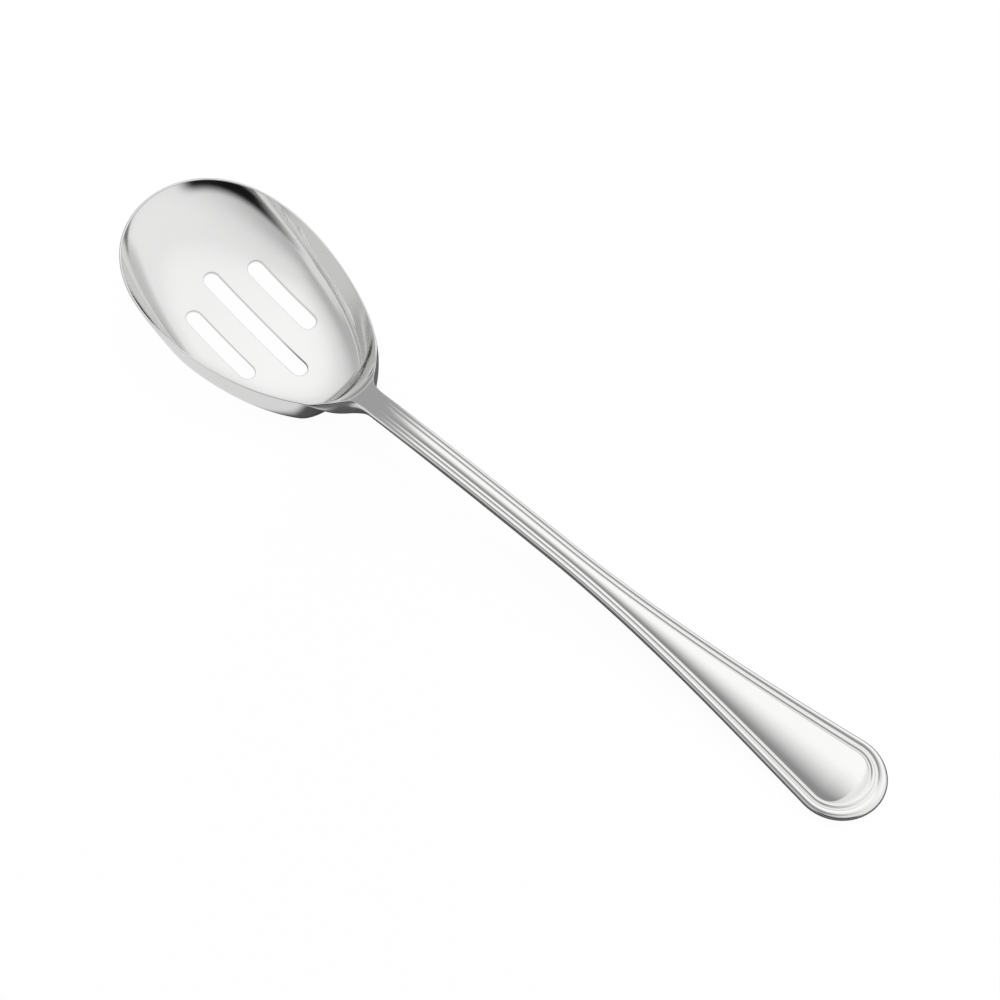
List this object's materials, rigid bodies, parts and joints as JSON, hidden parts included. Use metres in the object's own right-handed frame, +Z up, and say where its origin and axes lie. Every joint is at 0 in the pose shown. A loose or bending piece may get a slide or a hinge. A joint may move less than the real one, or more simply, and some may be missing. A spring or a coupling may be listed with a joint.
{
  "type": "slotted serving spoon",
  "caption": "Slotted serving spoon in polished stainless steel with a deep oval bowl and a ribbed, panelled handle that flares to a rounded end",
  "frame": {"origin": "middle of the footprint of the resting spoon, on the table", "axes": "+X runs from the bowl's tip to the handle's end, +Y across the spoon, +Z up out of the open bowl"},
  "size_m": [0.3, 0.063, 0.0348],
  "materials": {
    "polished_steel": "stainless steel polished to a mirror"
  },
  "bodies": {
    "root": {"bowl": "polished_steel", "handle": "polished_steel"}
  },
  "joints": []
}
